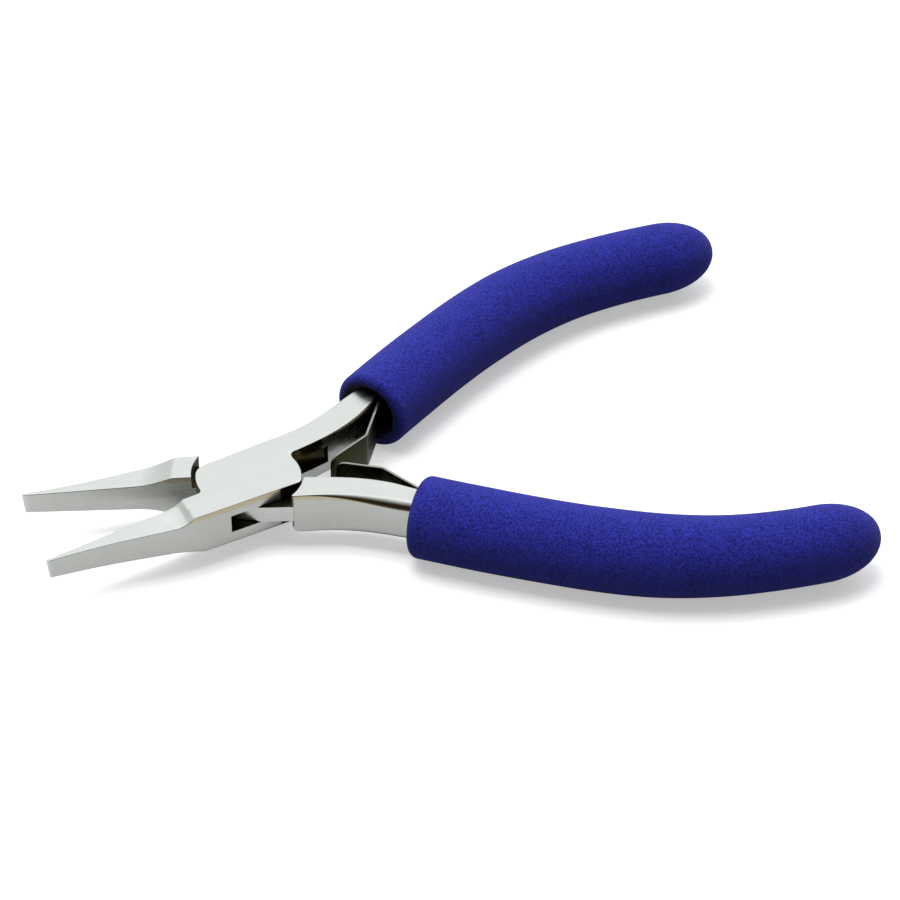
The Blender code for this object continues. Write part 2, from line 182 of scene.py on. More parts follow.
def arm_outer(x):
    """Distance of an arm's outer edge from the meeting plane."""
    plain = parabola(ARM_OUTER_CURVE, x - ARM_OUTER_START)
    return plain + ease(0.0, ARM_BULGE, (x - 12.0) / 12.0)


def tang_half_width(length):
    """Half width of a tang at a length on the route."""
    return mix(*TANG_HALF_WIDTHS, (length - TANG_ROOT) / (TANG_LENGTH - TANG_ROOT))


class Route:
    """The grips' centreline in plan, measured by its length from the collar."""

    knots = (
        (25.3, 7.42), (35.0, 11.6), (45.0, 15.6), (55.0, 19.1), (65.0, 21.65),
        (75.0, 22.6), (85.0, 21.95), (95.0, 20.2), (108.0, 17.1),
    )

    def __init__(self):
        knots = [Vector(p) for p in self.knots]
        knots = [knots[0] * 2 - knots[1], *knots, knots[-1] * 2 - knots[-2]]
        self.points = []
        for a, b, c, d in zip(knots, knots[1:], knots[2:], knots[3:]):
            for i in range(40):
                t = i / 40.0
                square = (a * 2 - b * 5 + c * 4 - d) * t * t
                cube = (b * 3 - a - c * 3 + d) * t * t * t
                self.points.append(0.5 * (b * 2 + (c - a) * t + square + cube))
        self.lengths = [0.0]
        for p, q in zip(self.points, self.points[1:]):
            self.lengths.append(self.lengths[-1] + (q - p).length)

    def at(self, length):
        """Point, direction and left-hand normal at a length."""
        index = 1
        while index < len(self.lengths) - 1 and self.lengths[index] < length:
            index += 1
        p, q = self.points[index - 1], self.points[index]
        span = self.lengths[index] - self.lengths[index - 1]
        direction = (q - p).normalized()
        point = p + (q - p) * ((length - self.lengths[index - 1]) / span)
        return point, direction, Vector((-direction.y, direction.x))

    def place(self, length, across):
        """A plan point beside the route."""
        point, _, normal = self.at(length)
        return point + normal * across


ROUTE = Route()


# ---------------------------------------------------------------- meshes and objects

def placement(side):
    """Matrix from a half's closed frame to its open pose in the row frame."""
    return Matrix.Translation(PIVOT) @ Matrix.Rotation(side * HALF_OPENING, 4, "Z")


def row_point(spot, side):
    """Row-frame point at mid height for a plan point in mm, mirrored for side -1."""
    return placement(side) @ Vector((spot.x * MM, side * spot.y * MM, 0.0))


def finish_mesh(name, bm, side, materials, sharp=SHARP, index=None):
    """An object from a bmesh drawn for the outer half, mirrored for side -1, and turned open."""
    if index is not None:
        for face in bm.faces:
            face.material_index = index
    bmesh.ops.remove_doubles(bm, verts=bm.verts[:], dist=0.0004)
    scale = Matrix.Diagonal((MM, side * MM, MM, 1.0))
    bmesh.ops.transform(bm, matrix=scale, verts=bm.verts[:])
    bmesh.ops.recalc_face_normals(bm, faces=bm.faces[:])
    mesh = bpy.data.meshes.new(name)
    bm.to_mesh(mesh)
    bm.free()
    mesh.shade_smooth()
    mesh.set_sharp_from_angle(angle=sharp)
    piece = bpy.data.objects.new(name, mesh)
    bpy.context.scene.collection.objects.link(piece)
    piece.matrix_world = placement(side)
    for material in materials:
        mesh.materials.append(material)
    return piece


def settle(piece):
    """Move a finished piece's placement into its mesh, so that it is drawn in the row frame."""
    bpy.context.view_layer.update()
    piece.data.transform(piece.matrix_world)
    piece.matrix_world = Matrix.Identity(4)
    return piece


def combine(piece, helper, operation):
    """Apply a Boolean to the piece and throw the helper away."""
    modifier = piece.modifiers.new("combine", "BOOLEAN")
    modifier.operation = operation
    modifier.solver = "EXACT"
    modifier.object = helper
    bpy.context.view_layer.update()
    shown = piece.evaluated_get(bpy.context.evaluated_depsgraph_get())
    mesh = bpy.data.meshes.new_from_object(shown)
    bm = bmesh.new()
    bm.from_mesh(mesh)
    bmesh.ops.remove_doubles(bm, verts=bm.verts[:], dist=0.002 * MM)
    bmesh.ops.dissolve_degenerate(bm, dist=0.001 * MM, edges=bm.edges[:])
    bm.to_mesh(mesh)
    bm.free()
    piece.modifiers.clear()
    piece.data = mesh
    bpy.data.objects.remove(helper, do_unlink=True)
    mesh.shade_smooth()
    mesh.set_sharp_from_angle(angle=SHARP)
    return piece


def loft(rings):
    """A solid through closed rings of equal point counts, with flat ends."""
    bm = bmesh.new()
    rows = [[bm.verts.new(point) for point in ring] for ring in rings]
    count = len(rows[0])
    for lower, upper in zip(rows, rows[1:]):
        for i in range(count):
            j = (i + 1) % count
            bm.faces.new((lower[i], lower[j], upper[j], upper[i]))
    bm.faces.new(rows[0])
    bm.faces.new(rows[-1])
    return bm


def prism(outline, bottom, top):
    """A straight solid on a plan outline."""
    return loft([[(x, y, z) for x, y in outline] for z in (bottom, top)])


def circle(radius):
    """Plan points of a circle about the pivot axis."""
    turns = [2 * math.pi * i / ROUND_SIDES for i in range(ROUND_SIDES)]
    return [(radius * math.cos(t), radius * math.sin(t)) for t in turns]


def disc(radius, bottom, top):
    """A straight round solid on the pivot axis."""
    return prism(circle(radius), bottom, top)


def arc(centre, radius, start, end, step=4.0):
    """Plan points of an arc, from start to end in degrees. The radius may be a function."""
    points = []
    for angle in spread(start, end, step):
        size = radius(angle) if callable(radius) else radius
        turn = math.radians(angle)
        points.append((centre[0] + size * math.cos(turn), centre[1] + size * math.sin(turn)))
    return points


def slab(rim, top, bottom, pitch, dark):
    """A ground forging: a plan outline with rounded edges between two height surfaces.

    rim holds (x, y, edge) with edge = (top inset, top drop, bottom inset, bottom drop).
    top and bottom give the height at (x, y). dark tells which walls are painted dark as shade.
    """
    area = 0.0
    for (x0, y0, _), (x1, y1, _) in zip(rim, rim[1:] + rim[:1]):
        area += x0 * y1 - x1 * y0
    if area < 0:
        rim = rim[::-1]
    count = len(rim)
    inward = []
    for i in range(count):
        here = Vector(rim[i][:2])
        before = (here - Vector(rim[i - 1][:2])).normalized()
        after = (Vector(rim[(i + 1) % count][:2]) - here).normalized()
        a = Vector((-before.y, before.x))
        b = Vector((-after.y, after.x))
        both = (a + b).normalized()
        inward.append(both / max(both.dot(a), 0.45))
    bm = bmesh.new()
    sides = []
    for surface, sign, first in ((top, 1.0, 0), (bottom, -1.0, 2)):
        rows = []
        for turn in (0.0, 15.0, 30.0, 45.0, 60.0, 75.0, 90.0, None):
            row = []
            for (x, y, edge), way in zip(rim, inward):
                inset, drop = edge[first], edge[first + 1]
                if turn is None:
                    spot = Vector((x, y)) + way * (inset + min(0.5 * inset + 0.05, 0.15))
                    height = surface(spot.x, spot.y)
                else:
                    angle = math.radians(turn)
                    spot = Vector((x, y)) + way * inset * (1.0 - math.cos(angle))
                    height = surface(spot.x, spot.y) - sign * drop * (1.0 - math.sin(angle))
                row.append(bm.verts.new((spot.x, spot.y, height)))
            rows.append(row)
        for level, (lower, upper) in enumerate(zip(rows, rows[1:])):
            for i in range(count):
                j = (i + 1) % count
                face = bm.faces.new((lower[i], lower[j], upper[j], upper[i]))
                face.material_index = int(level < 4 and dark(*middle(rim[i], rim[j])))
        fill(bm, rows[-1], surface, pitch)
        sides.append(rows[0])
    for i in range(count):
        j = (i + 1) % count
        face = bm.faces.new((sides[1][i], sides[1][j], sides[0][j], sides[0][i]))
        face.material_index = int(dark(*middle(rim[i], rim[j])))
    return bm


def middle(one, other):
    """Plan point halfway between two rim entries."""
    return (one[0] + other[0]) / 2.0, (one[1] + other[1]) / 2.0


def fill(bm, loop, surface, pitch):
    """Fill a loop with triangles that follow a height surface."""
    border = [Vector((v.co.x, v.co.y)) for v in loop]
    count = len(border)
    spots = list(border)
    low = Vector((min(p.x for p in border), min(p.y for p in border)))
    high = Vector((max(p.x for p in border), max(p.y for p in border)))
    x = low.x + 0.3
    while x < high.x:
        step = pitch(x)
        y = low.y + 0.5 * step
        while y < high.y:
            spot = Vector((x, y))
            if inside(spot, border) and clear(spot, border, 0.45 * step):
                spots.append(spot)
            y += step
        x += step
    edges = [(i, (i + 1) % count) for i in range(count)]
    verts, _, faces, origins, _, _ = delaunay_2d_cdt(spots, edges, [], 1, 1e-6)
    made = []
    for spot, origin in zip(verts, origins):
        known = [i for i in origin if i < count]
        if known:
            made.append(loop[known[0]])
        else:
            made.append(bm.verts.new((spot.x, spot.y, surface(spot.x, spot.y))))
    for face in faces:
        corners = [made[i] for i in face]
        if len(set(corners)) == len(corners):
            bm.faces.new(corners)


def inside(spot, border):
    """Whether a plan point is inside a closed outline."""
    odd = False
    before = border[-1]
    for here in border:
        if (here.y > spot.y) != (before.y > spot.y):
            cross = (before.x - here.x) * (spot.y - here.y) / (before.y - here.y) + here.x
            if spot.x < cross:
                odd = not odd
        before = here
    return odd


def clear(spot, border, distance):
    """Whether a plan point keeps a distance from every point of an outline."""
    limit = distance * distance
    return all((spot - p).length_squared > limit for p in border)


# ---------------------------------------------------------------- the two forgings

CRISP = (0.10, 0.12, 0.10, 0.12)
BAND = (0.09, 0.55, 0.09, 0.55)
JAW_EDGE = (0.12, 0.12, 0.12, 0.12)
JAW_BACK_EDGE = (0.14, 0.2, 0.14, 0.2)
TIP_EDGE = (0.05, 0.08, 0.05, 0.08)
SHOULDER_EDGE = (0.07, 0.08, 0.07, 0.08)
TANG_EDGE = (0.5, 0.7)
TANG_END_EDGE = (0.5, 0.6, 0.5, 0.6)


def soften(start, end, amount):
    """Edge rounding between two (inset, drop) pairs, the same above and below."""
    inset, drop = (ease(a, b, amount) for a, b in zip(start, end))
    return (inset, drop, inset, drop)


def arm_rim(outer_end, inner_end):
    """Rim of one arm and its tang: out along the outer edge, back along the inner edge.

    Both edges are crisp at the joint; outer_end and inner_end are (inset, drop) at the collar.
    """
    rim = []
    for x in [7.0, 7.08, 7.2, 7.4, 7.65] + spread(7.9, ARM_END, 0.9):
        rim.append((x, arm_outer(x), soften((0.09, 0.30), outer_end, (x - 8.0) / 16.0)))
    lengths = spread(1.4, 16.0, 1.4) + spread(19.0, TANG_LENGTH - 1.2, 3.0)
    for length in lengths:
        across = ease(2.22, tang_half_width(length), length / 14.0)
        across += ease(ARM_BULGE, 0.0, length / 6.0)
        spot = ROUTE.place(length, across)
        rim.append((spot.x, spot.y, soften(outer_end, TANG_EDGE, length / 14.0)))
    for turn in (60.0, 20.0, -20.0, -60.0):
        angle = math.radians(turn)
        spot = ROUTE.place(TANG_LENGTH - 1.3 + 1.3 * math.cos(angle), 1.25 * math.sin(angle))
        rim.append((spot.x, spot.y, TANG_END_EDGE))
    for length in lengths[::-1]:
        across = -ease(1.4, tang_half_width(length), length / 8.0)
        across -= ease(ARM_SWELL, 0.0, length / 3.4)
        spot = ROUTE.place(length, across)
        rim.append((spot.x, spot.y, soften(inner_end, TANG_EDGE, length / 14.0)))
    for x in spread(ARM_END, 9.7, 0.9):
        rim.append((x, arm_inner(x), soften((0.10, 0.12), inner_end, (x - 9.0) / 16.0)))
    return rim


def arm_height(x):
    """Half height of an arm and its tang."""
    half = ease(JOINT_HALF, TANG_HALF_HEIGHTS[0], (x - 28.0) / 10.0)
    return half + mix(0.0, -TANG_TAPER, (x - 32.0) / 52.0)


def jaw_base(x):
    """Half height of a jaw before its ramp up to the joint."""
    return mix(1.8, 2.45, (x + JAW_LENGTH) / 20.0)


def ramp(x, start, end, power, facet):
    """Half height of a jaw with a hollow ramp up to a steep facet that ends at the joint's face.

    facet holds the facet's length and its share of the rise.
    """
    base = jaw_base(x)
    length, part = facet
    if x > end - length:
        amount = 1.0 - part * min(max((end - x) / length, 0.0), 1.0)
    else:
        amount = (1.0 - part) * max((x - start) / (end - length - start), 0.0) ** power
    return base + (JOINT_HALF - base) * amount


def jaw_height(x, y, inner, outer, facet=(0.3, 0.08)):
    """Half height of a jaw or plate: inner and outer give the ramp at its two edges."""
    if x > -11.0:
        return arm_height(x)
    share = min(max(abs(y) / table(JAW_BACK, x), 0.0), 1.0)
    start, end, power = (mix(a, b, share) for a, b in zip(inner, outer))
    return ramp(x, start, end, power, facet)


def outer_top(x, y):
    """Upper face of the outer half, with the steep facet at its jaw's ramp."""
    return jaw_height(x, y, (-18.3, -12.27, 1.7), (-15.6, -12.8, 1.7), (1.2, 0.62))


def inner_top(x, y):
    """Upper face of the inner half's jaw."""
    return jaw_height(x, y, (-17.8, -12.7, 1.5), (-17.2, -12.0, 1.6))


def both_bottom(x, y):
    """Lower face of both halves."""
    return -jaw_height(x, y, (-18.0, -12.4, 1.6), (-17.0, -11.3, 1.6))


def fine_pitch(x):
    """Spacing of the points on a forging's faces: close where the ramps are hollow."""
    if -19.0 < x < -11.0:
        return 0.32
    return 1.6 if x < 27.0 else 3.0


def plate_radius(angle):
    """Radius of the plate's round end beside the arms, in degrees from the handles' way."""
    if angle < 0:
        return mix(PLATE_END_RADIUS, 8.75, -angle / 40.0)
    return mix(PLATE_END_RADIUS, 8.6, angle / 9.0)


def shoulder_radius(angle):
    """Radius of the hollow shoulders that face the plate's round ends."""
    if 90.0 < angle < 270.0:
        return mix(*JAW_SHOULDER_RADII, abs(180.0 - angle) / 35.0)
    return ARM_SHOULDER_RADIUS


def round_tip(piece):
    """Ease the lower corner of a jaw's tip."""
    for vertex in piece.data.vertices:
        x, z = vertex.co.x / MM, vertex.co.z / MM
        if x < -35.0:
            low = max(0.0, (0.2 - z) / 2.0)
            vertex.co.x += 0.38 * MM * low * low * mix(0.0, 1.0, (-35.0 - x) / 1.6)


def close_tip(rim):
    """End a jaw's rim with the corner at its back, and keep both corners of the tip crisp."""
    rim[0] = (*rim[0][:2], TIP_EDGE)
    return rim + [(-JAW_LENGTH, -JAW_BACK[0][1], TIP_EDGE)]


def outer_rim():
    """Plan rim of the outer half: jaw, plate and arm in one."""
    rim = [(x, -FACE_GAP, JAW_EDGE) for x in spread(-JAW_LENGTH, -10.0, 0.75)]
    reach = PLATE_RADIUS + THROAT_RADIUS
    centre = (-math.sqrt(reach ** 2 - (THROAT_RADIUS - FACE_GAP) ** 2), THROAT_RADIUS - FACE_GAP)
    inward = math.degrees(math.atan2(-centre[1], -centre[0]))
    rim += [(x, y, CRISP) for x, y in arc(centre, THROAT_RADIUS, -90.0, inward, 14.0)]
    start = 180.0 + inward
    rim += [(x, y, CRISP) for x, y in arc((0, 0), PLATE_RADIUS, start - 2.0, 148.5, 3.0)]
    corner = arc(PLATE_CORNER, PLATE_CORNER_RADIUS, 145.0, 93.0, 8.0)
    rim += [(x, y, CRISP) for x, y in corner]
    rim += [(x, mix(6.1, 6.35, (x + 4.8) / 11.8), CRISP) for x in spread(-3.8, 6.1, 1.5)]
    rim += arm_rim((0.5, 0.8), (0.55, 1.05))
    rim += [(9.45, 1.50, CRISP), (9.1, 1.40, CRISP), (8.82, 1.28, CRISP), (8.62, 1.02, CRISP)]
    rim += [(x, y, CRISP) for x, y in arc((0, 0), plate_radius, 4.0, -43.0, 3.0)]
    rim += [(x, -table(JAW_BACK, x), BAND) for x in spread(6.05, -12.6, 1.2)]
    for x in spread(-13.2, -36.6, 0.6):
        width = table(JAW_BACK, x)
        rim.append((x, -width, (0.10, ease(0.55, 0.14, (-12.6 - x) / 2.5), 0.12, 0.3)))
    return close_tip(rim)


def shoulder_rim(start, end):
    """The hollow wall of a shoulder, from start to end in degrees."""
    return [(x, y, SHOULDER_EDGE) for x, y in arc((0, 0), shoulder_radius, start, end, 3.0)]


def inner_jaw_rim():
    """Plan rim of the inner half's jaw with its shoulder beside the plate."""
    rim = [(x, -FACE_GAP, JAW_EDGE) for x in spread(-JAW_LENGTH, -9.9, 0.75)]
    rim += shoulder_rim(180.5, 180.0 + math.degrees(math.asin(5.6 / 9.7)))
    for x in spread(-8.6, -36.6, 0.6):
        rim.append((x, -table(JAW_BACK, x), JAW_BACK_EDGE))
    return close_tip(rim)


def inner_arm_rim():
    """Plan rim of the inner half's arm with its shoulder beside the plate."""
    rim = arm_rim((1.45, 1.5), (0.20, 0.45))
    rim += [(9.35, arm_inner(9.35), CRISP)]
    return rim + shoulder_rim(8.6, 42.0)


def tongue_outline():
    """Plan outline of the tongue that turns in the slot, drawn for side 1."""
    points = [(-10.5, -0.1), (-8.6, -0.1), (-5.3, 3.85), (1.75, 6.03), (7.2, 6.30)]
    points += [(9.4, 6.2), (10.4, 5.6), (10.4, 2.0), (9.0, 1.35), (8.35, 0.9)]
    points += [(5.3, -3.85), (-1.75, -6.06), (-6.6, -5.9), (-8.9, -5.2), (-10.5, -4.9)]
    return points


def slot_outline():
    """Plan outline of the slot between the plate's cheeks."""
    return [
        (-6.5, -9.0), (-6.5, -5.6), (-9.2, 0.0), (-13.0, 0.3), (-13.0, 9.0), (6.2, 9.0),
        (6.2, 6.4), (7.6, 4.2), (15.8, 2.8), (16.3, 1.8), (16.3, -1.0), (12.0, -9.0),
    ]


def outer_painted_shade(x, y):
    """Walls of the outer half painted dark as shade: plate ends, near corner, throat and arm
    root.
    """
    reach = math.hypot(x, y)
    plate_end = 8.2 < reach < 9.0 and (x > 4.0 or y > 0.0)
    near_corner = 2.6 < x < 8.0 and y < -4.0
    throat = -10.2 < x < -7.0 and -0.02 < y < 5.0
    root = 8.0 < x < 10.0 and 0.0 < y < 2.6
    return plate_end or near_corner or throat or root


def shoulder_painted_shade(x, y):
    """The hollow shoulder walls are painted dark as shade."""
    return 8.9 < math.hypot(x, y) < 10.2 and 0.2 < abs(y) < 5.9


def outer_half(materials):
    """The half with the two cheeks, slotted for the tongue and bored for the pin."""
    bm = slab(outer_rim(), outer_top, both_bottom, fine_pitch, outer_painted_shade)
    piece = finish_mesh("outer_half_ground", bm, 1.0, materials)
    slot = prism(slot_outline(), -SLOT_HALF, SLOT_HALF)
    # the slot's and the bore's cut faces take the painted shade steel
    combine(piece, finish_mesh("slot", slot, 1.0, materials, index=1), "DIFFERENCE")
    bore = disc(PIN_RADIUS + PIN_GAP, -JOINT_HALF - 1.0, JOINT_HALF - BORE_TOP_COVER)
    combine(piece, finish_mesh("bore", bore, 1.0, materials, index=1), "DIFFERENCE")
    round_tip(piece)
    return piece


def arm_top(x, y):
    """Upper face of the inner half's arm."""
    return arm_height(x)


def arm_bottom(x, y):
    """Underside of the inner half's arm, rounded off along its shoulder."""
    beyond = min(max((math.hypot(x, y) - ARM_SHOULDER_RADIUS) / SHOULDER_ROUND, 0.0), 1.0)
    return 1.2 * SHOULDER_ROUND * (1.0 - math.sqrt(beyond * (2.0 - beyond))) - arm_height(x)


def arm_pitch(x):
    """Spacing of the points on the inner half's arm: close beside its shoulder."""
    return 0.35 if x < 10.2 else fine_pitch(x)


def inner_half(materials):
    """The half with the tongue: jaw, arm and tongue fused."""
    jaw = slab(inner_jaw_rim(), inner_top, both_bottom, fine_pitch, shoulder_painted_shade)
    piece = finish_mesh("inner_half_ground", jaw, -1.0, materials)
    arm = slab(inner_arm_rim(), arm_top, arm_bottom, arm_pitch, shoulder_painted_shade)
    combine(piece, finish_mesh("arm", arm, -1.0, materials), "UNION")
    tongue = prism(tongue_outline(), -TONGUE_HALF, TONGUE_HALF)
    # the tongue's upper and lower faces, inside the slot, take the painted shade steel
    for face in tongue.faces:
        face.normal_update()
        face.material_index = int(abs(face.normal.z) > 0.5)
    combine(piece, finish_mesh("tongue", tongue, -1.0, materials), "UNION")
    bore = disc(PIN_RADIUS + PIN_GAP, -3.0, 3.0)
    # the bore's cut faces take the painted shade steel
    combine(piece, finish_mesh("bore", bore, -1.0, materials, index=1), "DIFFERENCE")
    round_tip(piece)
    return piece


# ---------------------------------------------------------------- pin, springs and screws

def pivot_pin(materials):
    """The turned pin: flush and lightly chamfered below, blind in the upper cheek."""
    low, high = -JOINT_HALF, JOINT_HALF - PIN_TOP_COVER
    profile = (
        (low + 0.12, 0.25), (low + 0.02, 0.45), (low, 0.7), (low, 2.3), (low + 0.05, 2.44),
        (low + 0.15, PIN_RADIUS), (high - 0.2, PIN_RADIUS), (high, PIN_RADIUS - 0.2),
    )
    rings = [[(x, y, height) for x, y in circle(radius)] for height, radius in profile]
    return finish_mesh("pivot_pin_turned", loft(rings), 1.0, materials)


LEAF_TIP = Vector((14.5, -2.75))
LEAF_BEND = Vector((22.05, -0.5))
LEAF_ROOT = Vector((29.0, 6.85))
LEAF_HALF_THICKNESS = 0.22
LEAF_HALF_WIDTH = 3.3
LEAF_CORNER = 1.5
FOOT_GAP = 0.3
FOOT_LENGTH = 8.5
SCREW_ALONG = 4.8
SCREW_HEAD = -0.4
SCREW_SIDES = 40
_, FOOT_WAY, FOOT_NORMAL = ROUTE.at(TANG_ROOT)


def rounded_path(corners, radii, steps):
    """A plan path through corners, each inner one turned on its own radius."""
    points = [corners[0]]
    for before, here, after, radius in zip(corners, corners[1:], corners[2:], radii):
        a = (before - here).normalized()
        b = (after - here).normalized()
        half = a.angle(b) / 2.0
        setback = radius / math.tan(half)
        middle = here + (a + b).normalized() * (radius / math.sin(half))
        start, end = here + a * setback - middle, here + b * setback - middle
        for i in range(steps + 1):
            points.append(middle + start.lerp(end, i / steps).normalized() * radius)
    points.append(corners[-1])
    return points


def leaf_spring(name, side, extra, materials):
    """One bent strip: free end, fold, blade, and the foot that lies along the tang."""
    way = (LEAF_TIP - LEAF_BEND).normalized()
    tip = LEAF_TIP + way * extra
    foot_end = LEAF_ROOT + FOOT_WAY * (FOOT_GAP + FOOT_LENGTH)
    path = rounded_path([tip, LEAF_BEND, LEAF_ROOT, foot_end], (1.2, 2.2), 10)
    lead = [tip - way * s for s in (0.0, 0.06, 0.2, 0.45, 0.8, 1.15, LEAF_CORNER, 3.0, 5.0)]
    foot = [path[-2].lerp(path[-1], i / 6.0) for i in range(1, 6)]
    blade_start, blade_end = path[11], path[12]
    blade = [blade_start.lerp(blade_end, i / 8.0) for i in range(1, 8)]
    path = lead + path[1:12] + blade + path[12:-1] + foot + [path[-1]]
    rings = []
    gone = 0.0
    for i, point in enumerate(path):
        before, after = path[max(i - 1, 0)], path[min(i + 1, len(path) - 1)]
        along = (after - before).normalized()
        across = Vector((-along.y, along.x))
        if i:
            gone += (point - path[i - 1]).length
        half = LEAF_HALF_WIDTH
        if gone < LEAF_CORNER:
            half += math.sqrt(LEAF_CORNER ** 2 - (LEAF_CORNER - gone) ** 2) - LEAF_CORNER
        ring = []
        for sy, sz, turns in ((1, 1, (0, 45, 90)), (-1, 1, (90, 45, 0)),
                              (-1, -1, (0, 45, 90)), (1, -1, (90, 45, 0))):
            for turn in turns:
                c, s = math.cos(math.radians(turn)), math.sin(math.radians(turn))
                offset = (LEAF_HALF_THICKNESS - 0.08 + 0.08 * c) * sy
                height = (half - 0.1 + 0.1 * s) * sz
                spot = point + across * offset
                ring.append((spot.x, spot.y, height))
        rings.append(ring)
    piece = finish_mesh(name, loft(rings), side, materials)
    # narrow edges take the lighter steel; the broad faces keep the near-black painted shade
    for polygon in piece.data.polygons:
        if abs(polygon.normal.z) > 0.6:
            polygon.material_index = 1
    return piece


def screw_spot(along, across):
    """A plan point of the foot: along it, and into the tang."""
    return LEAF_ROOT + FOOT_WAY * (FOOT_GAP + along) + FOOT_NORMAL * across


def leaf_screw(name, side, materials):
    """A slotted cheese-head screw, turned from one profile."""
    head = SCREW_HEAD
    profile = (
        (head - 0.70, 1.25), (head - 0.66, 1.42), (head - 0.52, 1.55), (head - 0.06, 1.6),
        (head, 1.56), (head, 0.8), (2.0, 0.8), (2.3, 0.4),
    )
    centre = screw_spot(SCREW_ALONG, 0.0)
    rings = []
    for depth, radius in profile:
        ring = []
        for i in range(SCREW_SIDES):
            turn = 2 * math.pi * i / SCREW_SIDES
            spot = centre + FOOT_NORMAL * depth + FOOT_WAY * (radius * math.sin(turn))
            ring.append((spot.x, spot.y, radius * math.cos(turn)))
        rings.append(ring)
    piece = finish_mesh(name, loft(rings), side, materials)
    corners = []
    for depth in (head - 1.0, head - 0.35):
        for along in (-0.2, 0.2):
            corners.append(screw_spot(SCREW_ALONG + along, depth))
    a, b, c, d = corners
    slot = prism([a[:], b[:], d[:], c[:]], -2.0, 2.0)
    return combine(piece, finish_mesh("driver_slot", slot, side, materials), "DIFFERENCE")


# ---------------------------------------------------------------- foam sleeves

GRIP_RADIUS = 6.86
GRIP_END_RADIUS = 6.3
GRIP_NOSE = 10.0
GRIP_DROP = 0.2
GRIP_SIDES = 112
COLLAR_ROLL = 1.5
BORE_GAP = 0.3
SQUARE_REACH = 0.86


def sleeve_ring(length, middle, half_across, half_up, power, drop=0.0):
    """A ring across the route: round at power 2 and squarer above it."""
    ring = []
    for i in range(GRIP_SIDES):
        turn = 2 * math.pi * (i + 0.5) / GRIP_SIDES
        c, s = math.cos(turn), math.sin(turn)
        across = math.copysign(abs(c) ** (2.0 / power), c) * half_across
        height = math.copysign(abs(s) ** (2.0 / power), s) * half_up
        spot = ROUTE.place(length, middle + across)
        ring.append((spot.x, spot.y, height - drop))
    return ring


def barrel_ring(length, radius):
    """A round outer ring of a sleeve, a little below the tang's middle."""
    return sleeve_ring(length, 0.0, radius, radius, 2.0, GRIP_DROP)


def sleeve_radius(length, end):
    """Outer radius along the barrel: full at the collar, a little slimmer near the end."""
    radius = ease(GRIP_RADIUS, GRIP_END_RADIUS, (length - 32.0) / (end - 37.0))
    return radius + 0.03 * math.sin(length / 5.1) * ease(0.0, 1.0, (length - 6.0) / 10.0)


def foam_sleeve(name, side, start, end, materials):
    """One moulded sleeve: bullet end, barrel, soft rolled collar, mouth and bore."""
    rings = []
    shoulder = end - GRIP_NOSE
    for turn in (87.0, 80.0, 73.0, 66.0, 59.0, 52.0, 45.0, 38.0, 31.0, 24.0, 17.0, 10.0, 4.0):
        angle = math.radians(turn)
        length = shoulder + GRIP_NOSE * math.sin(angle)
        radius = sleeve_radius(shoulder, end) * math.cos(angle) ** 0.94
        rings.append(barrel_ring(length, radius))
    for length in spread(shoulder, start + COLLAR_ROLL, 1.1):
        rings.append(barrel_ring(length, sleeve_radius(length, end)))
    for turn in (12.0, 24.0, 36.0, 48.0, 60.0, 72.0, 84.0):
        angle = math.radians(turn)
        length = start + COLLAR_ROLL - COLLAR_ROLL * math.sin(angle)
        rings.append(barrel_ring(length, GRIP_RADIUS - COLLAR_ROLL * (1.0 - math.cos(angle))))
    for length, middle, across, up, power in (
        (start + 0.05, -0.1, 5.0, 5.1, 2.1),
        (start + 0.35, -0.25, 4.7, 4.75, 2.3),
        (start + 0.8, -0.45, 4.4, 4.45, 2.7),
        (start + 1.4, -0.65, 4.15, 4.2, 3.3),
        (start + 2.4, -0.85, 3.9, 4.05, 4.2),
        (start + 7.0, -0.9, 3.5, 4.00, 4.6),
        (start + 10.6, -0.9, 3.3, 4.00, 4.8),
        (start + 12.6, 0.0, 2.4, 3.95, 5.0),
    ):
        rings.append(sleeve_ring(length, middle, across, up, power))
    for length in (24.0, 36.0, 48.0, 58.0, TANG_LENGTH + 1.0):
        amount = (length - TANG_ROOT) / (TANG_LENGTH - TANG_ROOT)
        across = (tang_half_width(length) + BORE_GAP) / SQUARE_REACH
        up = (mix(*TANG_HALF_HEIGHTS, amount) + BORE_GAP) / SQUARE_REACH
        rings.append(sleeve_ring(length, 0.0, across, up, 5.0))
    return finish_mesh(name, loft(rings), side, materials, math.radians(60.0))


# ---------------------------------------------------------------- materials

